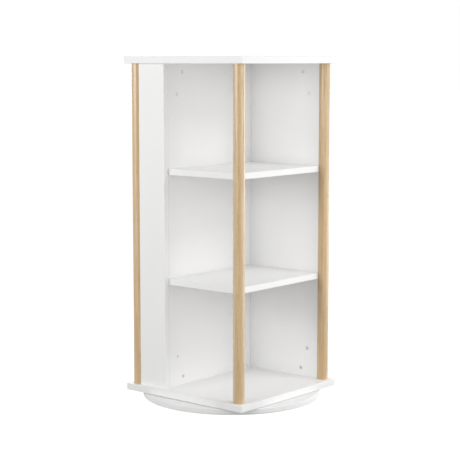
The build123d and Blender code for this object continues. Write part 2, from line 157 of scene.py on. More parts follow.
class Finish(ABC):
    """A surface finish that builds its own node material."""

    label: ClassVar[str]

    @abstractmethod
    def shade(self, tree: Tree, place: Socket) -> Socket:
        """Build the finish's shader.

        Args:
            tree: Node tree of the material.
            place: Object coordinates, in metres.

        Returns:
            The shader's output.
        """

    def layer(
        self,
        tree: Tree,
        under: Any,
        over: str,
        pattern: Socket,
        reach: tuple[float, float] = (0.0, 1.0),
        share: float = 1.0,
    ) -> Socket:
        """Lay one colour over another where a pattern is strong.

        Args:
            tree: Node tree of the material.
            under: Colour below, as a socket or a linear colour.
            over: Colour of the layer.
            pattern: Pattern from 0 to 1.
            reach: Strengths of the pattern at which the layer starts to show and covers the most.
            share: How much it covers at the most.

        Returns:
            The new colour.
        """
        cover = add_node(
            tree,
            "ShaderNodeMapRange",
            {"Value": pattern, "From Min": reach[0], "From Max": reach[1], "To Max": share},
        )
        mixed = add_node(
            tree,
            "ShaderNodeMix",
            {MIX_FACTOR: cover.outputs["Result"], MIX_FROM: under, MIX_TO: linear(over)},
            data_type="RGBA",
        )
        return mixed.outputs[MIX_COLOUR]

    def surface(
        self,
        tree: Tree,
        gloss: Socket,
        roughness: tuple[float, float],
        relief: Socket,
        depth_mm: float,
        sockets: dict[str, Any],
    ) -> Socket:
        """Give a shader an uneven gloss and a fine relief.

        Args:
            tree: Node tree of the material.
            gloss: Pattern from 0 to 1 that the gloss follows.
            roughness: Roughness where that pattern is 0 and where it is 1.
            relief: Pattern from 0 to 1 that stands out of the surface.
            depth_mm: Height of the relief.
            sockets: Colour and other inputs of the shader.

        Returns:
            The shader's output.
        """
        shine = add_node(
            tree, "ShaderNodeMapRange", {"Value": gloss, "To Min": roughness[0], "To Max": roughness[1]}
        )
        bump = add_node(tree, "ShaderNodeBump", {"Height": relief, "Distance": depth_mm * MM})
        shader = add_node(
            tree,
            "ShaderNodeBsdfPrincipled",
            {"Roughness": shine.outputs["Result"], "Normal": bump.outputs["Normal"], **sockets},
        )
        return shader.outputs["BSDF"]

    def material(self) -> Material:
        """Return the finish's material, which is made once and shared."""
        known = bpy.data.materials.get(self.label)
        if known is not None:
            return known
        material = bpy.data.materials.new(self.label)
        tree = empty_tree(material)
        place = add_node(tree, "ShaderNodeTexCoord").outputs["Object"]
        add_node(tree, "ShaderNodeOutputMaterial", {"Surface": self.shade(tree, place)})
        return material


@dataclass(frozen=True)
class SatinLacquer(Finish):
    """White lacquer sprayed on fibreboard: an even, faintly pebbled skin with a soft sheen."""

    label: ClassVar[str] = "satin_lacquer_on_fibreboard"
    full_coat: str = "#F5F5F5"
    thin_coat: str = "#F1F1F0"
    cloud_mm: float = 140.0
    peel_mm: float = 2.2
    peel_depth_mm: float = 0.012
    roughness: tuple[float, float] = (0.36, 0.48)
    ior: float = 1.5

    def shade(self, tree: Tree, place: Socket) -> Socket:
        """Cloud the coat's thickness a little and pebble its skin."""
        clouds = add_node(
            tree, "ShaderNodeTexNoise", {"Vector": place, "Scale": per_metre(self.cloud_mm), "Detail": 2.0}
        )
        # Orange peel is about a millimetre across, drawn coarser here so that it shows
        peel = add_node(
            tree, "ShaderNodeTexNoise", {"Vector": place, "Scale": per_metre(self.peel_mm), "Detail": 1.0}
        ).outputs["Fac"]
        colour = self.layer(tree, linear(self.thin_coat), self.full_coat, clouds.outputs["Fac"])
        sockets = {"Base Color": colour, "IOR": self.ior}
        return self.surface(tree, peel, self.roughness, peel, self.peel_depth_mm, sockets)


@dataclass(frozen=True)
class VarnishedBeech(Finish):
    """Turned beech under clear satin varnish.

    The eye sees broad tones, growth rings, long streaks and short ray flecks.
    Each reach is where a layer's pattern, from 0 to 1, starts to show and covers the most.
    """

    label: ClassVar[str] = "clear_varnished_beech"
    pale_wood: str = "#D9C29A"
    deep_wood: str = "#C2A071"
    streak: str = "#B49060"
    figure: str = "#A17848"
    fleck: str = "#A48055"
    tone_width_mm: float = 16.0
    tone_length_mm: float = 420.0
    tone_reach: tuple[float, float] = (0.3, 0.7)
    tone_share: float = 1.0
    pith_place_mm: tuple[float, float] = (-420.0, -330.0)
    ring_mm: float = 11.0
    ring_wander: float = 9.0
    ring_stretch: float = 14.0
    ring_reach: tuple[float, float] = (0.0, 1.0)
    ring_share: float = 0.45
    streak_width_mm: float = 4.5
    streak_length_mm: float = 90.0
    streak_reach: tuple[float, float] = (0.45, 0.7)
    streak_share: float = 0.6
    figure_width_mm: float = 3.0
    figure_length_mm: float = 48.0
    figure_reach: tuple[float, float] = (0.58, 0.72)
    figure_share: float = 0.6
    fleck_width_mm: float = 1.6
    fleck_length_mm: float = 11.0
    fleck_reach: tuple[float, float] = (0.6, 0.7)
    fleck_share: float = 0.4
    fibre_width_mm: float = 1.2
    fibre_length_mm: float = 45.0
    fibre_depth_mm: float = 0.03
    roughness: tuple[float, float] = (0.42, 0.58)
    varnish_weight: float = 1.0
    varnish_roughness: float = 0.22
    ior: float = 1.5

    def along_grain(self, tree: Tree, place: Socket, width_mm: float, length_mm: float) -> Socket:
        """Noise drawn out along the column, which stands on the Z axis.

        Args:
            tree: Node tree of the material.
            place: Object coordinates, in metres.
            width_mm: Width of one feature across the grain.
            length_mm: Length of one feature along the grain.

        Returns:
            The noise, from 0 to 1.
        """
        across, along = per_metre(width_mm), per_metre(length_mm)
        drawn = add_node(tree, "ShaderNodeMapping", {"Vector": place, "Scale": (across, across, along)})
        noise = add_node(
            tree,
            "ShaderNodeTexNoise",
            {"Vector": drawn.outputs["Vector"], "Scale": 1.0, "Detail": 3.0, "Roughness": 0.6},
        )
        return noise.outputs["Fac"]

    def growth_rings(self, tree: Tree, place: Socket) -> Socket:
        """Rings about the pith of the tree that the column was sawn from.

        Args:
            tree: Node tree of the material.
            place: Object coordinates, in metres.

        Returns:
            The rings, from 0 to 1.
        """
        pith = Vector((*self.pith_place_mm, 0.0)) * MM
        log_place = add_node(
            tree,
            "ShaderNodeMapping",
            {"Vector": place, "Location": -pith, "Scale": (1.0, 1.0, 1.0 / self.ring_stretch)},
        )
        rings = add_node(
            tree,
            "ShaderNodeTexWave",
            {
                "Vector": log_place.outputs["Vector"],
                "Scale": 2 * math.pi / (WAVE_RADIANS * self.ring_mm * MM),
                "Distortion": self.ring_wander,
                "Detail": 2.0,
                "Detail Scale": 0.35,
            },
            wave_type="RINGS",
            rings_direction="Z",
        )
        return rings.outputs["Fac"]

    def shade(self, tree: Tree, place: Socket) -> Socket:
        """Lay tones, rings, streaks and flecks over each other, under a coat of varnish."""
        # Streaks, flecks and fibres are finer on real beech, and drawn as coarse as they need to show
        tones = self.along_grain(tree, place, self.tone_width_mm, self.tone_length_mm)
        streaks = self.along_grain(tree, place, self.streak_width_mm, self.streak_length_mm)
        figures = self.along_grain(tree, place, self.figure_width_mm, self.figure_length_mm)
        flecks = self.along_grain(tree, place, self.fleck_width_mm, self.fleck_length_mm)
        fibres = self.along_grain(tree, place, self.fibre_width_mm, self.fibre_length_mm)
        rings = self.growth_rings(tree, place)

        colour: Any = linear(self.pale_wood)
        for over, pattern, reach, share in (
            (self.deep_wood, tones, self.tone_reach, self.tone_share),
            (self.deep_wood, rings, self.ring_reach, self.ring_share),
            (self.streak, streaks, self.streak_reach, self.streak_share),
            (self.figure, figures, self.figure_reach, self.figure_share),
            (self.fleck, flecks, self.fleck_reach, self.fleck_share),
        ):
            colour = self.layer(tree, colour, over, pattern, reach, share)
        sockets = {
            "Base Color": colour,
            "IOR": self.ior,
            "Coat Weight": self.varnish_weight,
            "Coat Roughness": self.varnish_roughness,
        }
        return self.surface(tree, fibres, self.roughness, fibres, self.fibre_depth_mm, sockets)


@dataclass(frozen=True)
class TurnedAluminium(Finish):
    """Aluminium turned on a lathe: pale grey, with fine tool rings round the upright axis."""

    label: ClassVar[str] = "turned_aluminium"
    colour: str = "#D3D5D7"
    dull_colour: str = "#C2C5C8"
    tool_ring_mm: float = 0.8
    tool_ring_depth_mm: float = 0.01
    tool_ring_wander: float = 0.6
    cloud_mm: float = 9.0
    roughness: tuple[float, float] = (0.36, 0.24)

    def shade(self, tree: Tree, place: Socket) -> Socket:
        """Draw the tool's rings and cloud the oxide."""
        rings = add_node(
            tree,
            "ShaderNodeTexWave",
            {
                "Vector": place,
                "Scale": 2 * math.pi / (WAVE_RADIANS * self.tool_ring_mm * MM),
                "Distortion": self.tool_ring_wander,
            },
            wave_type="RINGS",
            rings_direction="Z",
        ).outputs["Fac"]
        clouds = add_node(
            tree, "ShaderNodeTexNoise", {"Vector": place, "Scale": per_metre(self.cloud_mm), "Detail": 3.0}
        ).outputs["Fac"]
        colour = self.layer(tree, linear(self.dull_colour), self.colour, clouds)
        sockets = {"Base Color": colour, "Metallic": 1.0}
        return self.surface(tree, clouds, self.roughness, rings, self.tool_ring_depth_mm, sockets)


@dataclass(frozen=True)
class GrainedFinish(Finish):
    """A finish that is one colour with a darker tone, a fine grain and a bump from the same grain."""

    colour: str
    dark_colour: str
    grain_mm: float
    grain_depth_mm: float
    roughness: tuple[float, float]
    metallic: float = 0.0
    sheen: float = 0.0

    def shade(self, tree: Tree, place: Socket) -> Socket:
        """Let one noise give the tone, the gloss and the grain."""
        grain = add_node(
            tree,
            "ShaderNodeTexNoise",
            {"Vector": place, "Scale": per_metre(self.grain_mm), "Detail": 4.0, "Roughness": 0.6},
        ).outputs["Fac"]
        sockets = {
            "Base Color": self.layer(tree, linear(self.dark_colour), self.colour, grain),
            "Metallic": self.metallic,
            "Sheen Weight": self.sheen,
        }
        return self.surface(tree, grain, self.roughness, grain, self.grain_depth_mm, sockets)


@dataclass(frozen=True)
class DieCastZinc(GrainedFinish):
    """Zinc cast in a steel die: dull mid grey, slightly mottled, with a soft shine."""

    label: ClassVar[str] = "die_cast_zinc"
    colour: str = "#DDDEDF"
    dark_colour: str = "#CBCDCF"
    grain_mm: float = 0.9
    grain_depth_mm: float = 0.02
    roughness: tuple[float, float] = (0.53, 0.37)
    metallic: float = 1.0


@dataclass(frozen=True)
class ZincPlatedSteel(GrainedFinish):
    """Steel with a bright zinc plating: cool grey, with a faint crystalline mottle."""

    label: ClassVar[str] = "zinc_plated_steel"
    colour: str = "#C6CACD"
    dark_colour: str = "#B2B7BB"
    grain_mm: float = 1.6
    grain_depth_mm: float = 0.005
    roughness: tuple[float, float] = (0.38, 0.26)
    metallic: float = 1.0


@dataclass(frozen=True)
class PolishedBearingSteel(GrainedFinish):
    """Hardened steel balls, ground and polished: bright and smooth, with hair-fine lapping marks."""

    label: ClassVar[str] = "polished_bearing_steel"
    colour: str = "#D4D5D6"
    dark_colour: str = "#C8CACC"
    grain_mm: float = 0.3
    grain_depth_mm: float = 0.001
    roughness: tuple[float, float] = (0.13, 0.07)
    metallic: float = 1.0


@dataclass(frozen=True)
class MouldedNylon(GrainedFinish):
    """Natural nylon from a mould: milky, slightly yellow, with a waxy and finely eroded skin."""

    label: ClassVar[str] = "moulded_nylon"
    colour: str = "#E6E1D2"
    dark_colour: str = "#DAD4C3"
    grain_mm: float = 0.7
    grain_depth_mm: float = 0.01
    roughness: tuple[float, float] = (0.48, 0.36)


@dataclass(frozen=True)
class PressedFelt(GrainedFinish):
    """Pressed wool felt: warm grey, matt and matted, with a fibrous nap."""

    label: ClassVar[str] = "pressed_felt"
    colour: str = "#8A8580"
    dark_colour: str = "#66615D"
    grain_mm: float = 0.8
    grain_depth_mm: float = 0.15
    roughness: tuple[float, float] = (0.97, 0.87)
    sheen: float = 0.4


@dataclass(frozen=True)
class Solid:
    """Box of one loose solid in a node's mesh, in metres."""

    low: Vector
    high: Vector

    @property
    def centre(self) -> Vector:
        """Middle of the box."""
        return (self.low + self.high) / 2

    @property
    def size(self) -> Vector:
        """Edges of the box."""
        return self.high - self.low

    @property
    def long_axis(self) -> int:
        """Axis along which the box is longest."""
        return max(range(3), key=lambda axis: self.size[axis])

    def nearest(self, others: Sequence["Solid"]) -> "Solid":
        """Find the one of the others whose middle is nearest."""
        return min(others, key=lambda other: (other.centre - self.centre).length)


@dataclass(frozen=True)
class Place:
    """Where one copy of a repeated form stands: its origin, its Z axis and its X axis."""

    point: Vector
    facing: Vector
    side: Vector


@dataclass(frozen=True)
class Ring:
    """One circle of a turned form, in metres, with the rows of facets in the wall above it."""

    name: str
    radius: float
    height: float
    rows: int = 1


def loose_solids(node: Piece) -> list[Solid]:
    """Find the separate solids in a node.

    Args:
        node: Object of the frame, which is left as it is.

    Returns:
        The box of each solid.
    """
    shell = bmesh.new()
    shell.from_mesh(node.data)
    bmesh.ops.remove_doubles(shell, verts=shell.verts, dist=WELD)
    solids = []
    waiting = set(shell.verts)
    while waiting:
        edge_of_search = [waiting.pop()]
        found = []
        while edge_of_search:
            vertex = edge_of_search.pop()
            found.append(vertex.co.copy())
            beside = {edge.other_vert(vertex) for edge in vertex.link_edges} & waiting
            waiting -= beside
            edge_of_search.extend(beside)
        low = Vector(min(co[axis] for co in found) for axis in range(3))
        high = Vector(max(co[axis] for co in found) for axis in range(3))
        solids.append(Solid(low, high))
    shell.free()
    return sorted(solids, key=lambda solid: tuple(round(c / MM, 1) for c in solid.centre))


def along_axis(vector: Vector, axis: int) -> Vector:
    """Unit vector on one axis, towards the side that the vector points to."""
    unit = Vector((0.0, 0.0, 0.0))
    unit[axis] = math.copysign(1.0, vector[axis])
    return unit


def wear(node: Piece, finish: Finish) -> None:
    """Give a node of the frame its finish.

    Args:
        node: Object whose mesh stays as it is.
        finish: Finish that takes the place of every material on it.
    """
    for slot in node.material_slots:
        slot.material = finish.material()
    log.info("dressed %s in %s", node.name, finish.label)


class RepeatedForm:
    """Geometry Nodes tree that repeats one small form on points and becomes a plain mesh.

    Its sizes are named inputs of the tree, in metres.
    """

    def __init__(self, name: str) -> None:
        """Start an empty tree.

        Args:
            name: Name of the piece.
        """
        self.name = name
        self.tree = bpy.data.node_groups.new(name, "GeometryNodeTree")
        self.tree.interface.new_socket(name="Places", in_out="INPUT", socket_type="NodeSocketGeometry")
        self.tree.interface.new_socket(name="Piece", in_out="OUTPUT", socket_type="NodeSocketGeometry")
        self.sizes: dict[str, float] = {}
        self.entry = add_node(self.tree, "NodeGroupInput")

    def size(self, label: str, value: float) -> Socket:
        """Add a size to the tree's inputs.

        Args:
            label: Name of the input.
            value: Size in metres.

        Returns:
            The socket that gives the size.
        """
        socket = self.tree.interface.new_socket(name=label, in_out="INPUT", socket_type="NodeSocketFloat")
        self.sizes[socket.identifier] = value
        return self.entry.outputs[label]

    def reckon(self, operation: str, first: Any, second: Any) -> Socket:
        """Work out one step of arithmetic on sockets or numbers and return its outcome."""
        return add_node(self.tree, "ShaderNodeMath", {0: first, 1: second}, operation=operation).outputs[0]

    def turned(self, rings: Sequence[Ring]) -> Socket:
        """Make a turned solid.

        Args:
            rings: Circles from the lower pole, out and up, to the upper pole.

        Returns:
            The closed mesh.
        """
        circles = []
        for ring in rings:
            radius = self.size(f"{ring.name} radius", ring.radius)
            circles.append((radius, self.size(f"{ring.name} height", ring.height), ring.rows))
        walls = []
        for (low_radius, low_height, rows), (high_radius, high_height, _) in pairwise(circles):
            wall = add_node(
                self.tree,
                "GeometryNodeMeshCone",
                {
                    "Vertices": SIDES,
                    "Side Segments": rows,
                    "Radius Bottom": low_radius,
                    "Radius Top": high_radius,
                    "Depth": self.reckon("SUBTRACT", high_height, low_height),
                },
                fill_type="NONE",
            )
            seat = add_node(self.tree, "ShaderNodeCombineXYZ", {"Z": low_height})
            seated = add_node(
                self.tree,
                "GeometryNodeTransform",
                {"Geometry": wall.outputs["Mesh"], "Translation": seat.outputs["Vector"]},
            )
            walls.append(seated.outputs["Geometry"])
        stack = add_node(self.tree, "GeometryNodeJoinGeometry", {"Geometry": walls})
        closed = add_node(
            self.tree,
            "GeometryNodeMergeByDistance",
            {"Geometry": stack.outputs["Geometry"], "Distance": WELD},
        )
        return closed.outputs["Geometry"]

    def block(self, label: str, size: Vector, middle: Vector) -> Socket:
        """Make a block for a cut.

        Args:
            label: Name of the cut in the tree's inputs.
            size: Edges of the block.
            middle: Middle of the block.

        Returns:
            The block's mesh.
        """
        edges = {axis: self.size(f"{label} {axis}", size[place]) for place, axis in enumerate("XYZ")}
        shape = add_node(self.tree, "ShaderNodeCombineXYZ", edges)
        cube = add_node(self.tree, "GeometryNodeMeshCube", {"Size": shape.outputs["Vector"]})
        moved = add_node(
            self.tree, "GeometryNodeTransform", {"Geometry": cube.outputs["Mesh"], "Translation": middle}
        )
        return moved.outputs["Geometry"]

    def cross(self, size: Vector, step: float, middle: Vector) -> list[Socket]:
        """Make the two bars of a cross recess.

        Args:
            size: Length, width and depth of the recess.
            step: How much shallower the second bar is, so that their floors don't lie in one plane.
            middle: Middle of the recess, on the face that it is cut into.

        Returns:
            The bars' meshes.
        """
        length, width, depth = size
        return [
            self.block("Long cross bar", Vector((length, width, 2 * depth)), middle),
            self.block("Short cross bar", Vector((width, length, 2 * (depth - step))), middle),
        ]

    def threaded(self, form: Socket, ends: tuple[float, float], pitch: float, root_share: float) -> Socket:
        """Cut a right-hand thread into the wall of a turned form.

        Args:
            form: Turned form, with enough rows of facets for the thread.
            ends: Heights at which the thread starts and ends.
            pitch: Rise of one turn.
            root_share: Depth of the thread's root, as a share of the wall's radius.

        Returns:
            The threaded form.
        """
        spot = add_node(self.tree, "GeometryNodeInputPosition").outputs["Position"]
        x, y, z = add_node(self.tree, "ShaderNodeSeparateXYZ", {"Vector": spot}).outputs
        turn = self.reckon("DIVIDE", self.reckon("ARCTAN2", y, x), 2 * math.pi)
        climb = self.reckon("DIVIDE", z, self.size("Thread pitch", pitch))
        wave = self.reckon("PINGPONG", self.reckon("SUBTRACT", climb, turn), THREAD_CREST)
        flank = {"From Min": THREAD_FLANK, "From Max": THREAD_CREST, "To Min": root_share, "To Max": 0.0}
        depth = add_node(self.tree, "ShaderNodeMapRange", {"Value": wave, **flank}).outputs[0]
        # The root runs out over one turn at either end, so that the wall stays closed
        for start, full in ((ends[0], ends[0] + pitch), (ends[1], ends[1] - pitch)):
            zone = {"Value": z, "From Min": start, "From Max": full}
            fade = add_node(self.tree, "ShaderNodeMapRange", zone).outputs[0]
            depth = self.reckon("MULTIPLY", depth, fade)
        shrink = self.reckon("SUBTRACT", 1.0, depth)
        scale = add_node(self.tree, "ShaderNodeCombineXYZ", {"X": shrink, "Y": shrink, "Z": 1.0})
        place = add_node(
            self.tree, "ShaderNodeVectorMath", {0: spot, 1: scale.outputs["Vector"]}, operation="MULTIPLY"
        )
        moved = add_node(
            self.tree, "GeometryNodeSetPosition", {"Geometry": form, "Position": place.outputs["Vector"]}
        )
        return moved.outputs["Geometry"]

    def cut(self, form: Socket, cutters: list[Socket]) -> Socket:
        """Cut meshes out of a form and return what is left."""
        rest = add_node(
            self.tree, "GeometryNodeMeshBoolean", {"Mesh 1": form, "Mesh 2": cutters}, operation="DIFFERENCE"
        )
        return rest.outputs["Mesh"]

    def creased(self, form: Socket) -> Socket:
        """Shade a form smoothly between its crisp edges and return it."""
        bend = add_node(self.tree, "GeometryNodeInputMeshEdgeAngle")
        crisp = add_node(
            self.tree,
            "FunctionNodeCompare",
            {"A": bend.outputs["Unsigned Angle"], "B": CREASE},
            operation="GREATER_THAN",
        )
        smooth = add_node(self.tree, "GeometryNodeSetShadeSmooth", {"Geometry": form, "Shade Smooth": True})
        edged = add_node(
            self.tree,
            "GeometryNodeSetShadeSmooth",
            {
                "Geometry": smooth.outputs["Geometry"],
                "Selection": crisp.outputs["Result"],
                "Shade Smooth": False,
            },
            domain="EDGE",
        )
        return edged.outputs["Geometry"]

    def piece(self, form: Socket, places: Sequence[Place], finish: Finish) -> Piece:
        """Repeat a form and turn the result into a plain mesh.

        Args:
            form: Mesh of one copy, about its own origin.
            places: Where the copies stand.
            finish: Finish of the piece.

        Returns:
            The piece, at the origin, with its place in its mesh.
        """
        facing, side = (
            add_node(
                self.tree, "GeometryNodeInputNamedAttribute", {"Name": label}, data_type="FLOAT_VECTOR"
            ).outputs["Attribute"]
            for label in ("facing", "side")
        )
        turn = add_node(
            self.tree,
            "FunctionNodeAxesToRotation",
            {"Primary Axis": facing, "Secondary Axis": side},
            primary_axis="Z",
            secondary_axis="X",
        )
        copies = add_node(
            self.tree,
            "GeometryNodeInstanceOnPoints",
            {
                "Points": self.entry.outputs["Places"],
                "Instance": self.creased(form),
                "Rotation": turn.outputs["Rotation"],
            },
        )
        real = add_node(self.tree, "GeometryNodeRealizeInstances", {"Geometry": copies.outputs["Instances"]})
        dressed = add_node(
            self.tree,
            "GeometryNodeSetMaterial",
            {"Geometry": real.outputs["Geometry"], "Material": finish.material()},
        )
        add_node(self.tree, "NodeGroupOutput", {"Piece": dressed.outputs["Geometry"]})

        points = bpy.data.meshes.new(f"{self.name}_places")
        points.from_pydata([place.point for place in places], [], [])
        for label, vectors in (
            ("facing", [place.facing for place in places]),
            ("side", [place.side for place in places]),
        ):
            attribute = points.attributes.new(label, "FLOAT_VECTOR", "POINT")
            attribute.data.foreach_set("vector", [part for vector in vectors for part in vector])

        host = bpy.data.objects.new(self.name, points)
        bpy.context.scene.collection.objects.link(host)
        modifier = host.modifiers.new(self.name, "NODES")
        modifier.node_group = self.tree
        for identifier, value in self.sizes.items():
            modifier[identifier] = value
        depsgraph = bpy.context.evaluated_depsgraph_get()
        made = bpy.data.meshes.new_from_object(host.evaluated_get(depsgraph), depsgraph=depsgraph)
        host.modifiers.remove(modifier)
        host.data = made
        log.info("made %s: %d copies, %d faces", self.name, len(places), len(made.polygons))
        return host


def hand_over(piece: Piece, body: Body, node: str) -> None:
    """Let a new piece stand for a node of the frame.

    Args:
        piece: Piece in its place.
        body: Body that the piece rides on.
        node: Node that it stands for.
    """
    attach(piece, body.value)
    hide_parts(node)


@dataclass(frozen=True)
class WoodScrews:
    """Countersunk wood screws with a cross recess and a right-hand thread, whose heads all face one way.

    The recess's length, width and depth are shares of the head's diameter, and the root's depth is one
    of the shank's radius.
    """

    node: str
    body: Body
    facing: Vector
    shank_mm: float
    pitch_mm: float
    plain_mm: float
    rows_per_turn: int = 8
    root_share: float = 0.24
    recess_shares: tuple[float, float, float] = (0.55, 0.13, 0.2)
    recess_step_mm: float = 0.05

    def build(self, node: Piece) -> None:
        """Make the screws, each about its head's face with its tip below.

        Args:
            node: The frame's screws, whose places and sizes are kept.
        """
        screws = loose_solids(node)
        head = screws[0].size.x / 2
        length = screws[0].size.z
        shank = self.shank_mm * MM / 2
        pitch = self.pitch_mm * MM
        neck = shank - head
        ends = (shank - length, neck - self.plain_mm * MM)
        rows = round((ends[1] - ends[0]) / pitch * self.rows_per_turn)

        form = RepeatedForm(f"zinc_{self.node}")
        body = form.turned(
            [
                Ring("Tip", 0.0, -length),
                Ring("Thread start", shank, ends[0], rows),
                Ring("Thread end", shank, ends[1]),
                Ring("Neck", shank, neck),
                Ring("Head rim", head, 0.0),
                Ring("Head pole", 0.0, 0.0),
            ]
        )
        recess = 2 * head * Vector(self.recess_shares)
        screw = form.cut(
            form.threaded(body, ends, pitch, self.root_share),
            form.cross(recess, self.recess_step_mm * MM, Vector((0, 0, 0))),
        )
        to_head = self.facing * length / 2
        places = [Place(found.centre + to_head, self.facing, ASIDE) for found in screws]
        hand_over(form.piece(screw, places, ZincPlatedSteel()), self.body, self.node)


@dataclass
class Turntable:
    """Round base with felt pads under it and a ball bearing in its pocket."""

    lacquer: SatinLacquer = field(default_factory=SatinLacquer)
    pad_round_mm: float = 0.5
    pad_glue_step_mm: float = 0.2
    ball_segments: int = 32
    ball_rings: int = 16

    def dress(self, nodes: dict[str, Piece]) -> None:
        """Give the base and the bearing's rings and cage their finishes.

        Args:
            nodes: Objects of the frame by name.
        """
        wear(nodes["base_disc"], self.lacquer)
        wear(nodes["bearing_outer_ring"], TurnedAluminium())
        wear(nodes["bearing_inner_ring"], TurnedAluminium())
        wear(nodes["ball_cage"], MouldedNylon())

    def build_pads(self, node: Piece) -> None:
        """Make the felt pads, rounded where they meet the floor.

        Args:
            node: The frame's pads, whose places and sizes are kept.
        """
        pads = loose_solids(node)
        radius = pads[0].size.x / 2
        height = pads[0].size.z
        soft = self.pad_round_mm * MM
        step = self.pad_glue_step_mm * MM
        form = RepeatedForm("felt_foot_pads")
        pad = form.turned(
            [
                Ring("Floor pole", 0.0, 0.0),
                Ring("Floor face", radius - soft, 0.0),
                Ring("Lower round", radius - soft * ROUND_MIDDLE, soft * ROUND_MIDDLE),
                Ring("Wall foot", radius, soft),
                Ring("Wall top", radius, height - step),
                Ring("Glue step", radius - step, height - step),
                Ring("Glue face", radius - step, height),
                Ring("Glue pole", 0.0, height),
            ]
        )
        places = [
            Place(Vector((found.centre.x, found.centre.y, found.low.z)), UP, ASIDE) for found in pads
        ]
        hand_over(form.piece(pad, places, PressedFelt()), Body.BASE, "foot_pads")

    def build_balls(self, node: Piece) -> None:
        """Make the bearing's balls, rounder than the frame's.

        Args:
            node: The frame's balls, whose places and sizes are kept.
        """
        balls = loose_solids(node)
        form = RepeatedForm("steel_bearing_balls")
        ball = add_node(
            form.tree,
            "GeometryNodeMeshUVSphere",
            {
                "Segments": self.ball_segments,
                "Rings": self.ball_rings,
                "Radius": form.size("Ball radius", balls[0].size.z / 2),
            },
        )
        places = [
            Place(found.centre, UP, Vector((found.centre.x, found.centre.y, 0))) for found in balls
        ]
        piece = form.piece(ball.outputs["Mesh"], places, PolishedBearingSteel())
        hand_over(piece, Body.BALL_CAGE, "bearing_balls")


@dataclass
class Cabinet:
    """Boards, upright panels and shelves, all lacquered white."""

    lacquer: SatinLacquer = field(default_factory=SatinLacquer)
    boards: tuple[str, ...] = ("bottom_board", "top_board")
    panels: tuple[str, ...] = ("end_panel", "divider_panel", "side_panel")
    shelves: tuple[str, ...] = ("shelf_lower", "shelf_upper", "narrow_shelf_lower", "narrow_shelf_upper")

    def dress(self, nodes: dict[str, Piece]) -> None:
        """Give every flat piece its lacquer.

        Args:
            nodes: Objects of the frame by name.
        """
        for name in self.boards + self.panels + self.shelves:
            wear(nodes[name], self.lacquer)


@dataclass
class Columns:
    """Round beech columns at the corners, with the wooden pins and dowels of the joints."""

    beech: VarnishedBeech = field(default_factory=VarnishedBeech)
    corners: tuple[str, ...] = ("front", "left", "right", "back")
    pins: tuple[str, ...] = ("column_pins", "wood_dowels")

    def dress(self, nodes: dict[str, Piece]) -> None:
        """Give all that is wooden its varnish.

        Args:
            nodes: Objects of the frame by name.
        """
        for corner in self.corners:
            wear(nodes[f"column_{corner}"], self.beech)
        for name in self.pins:
            wear(nodes[name], self.beech)


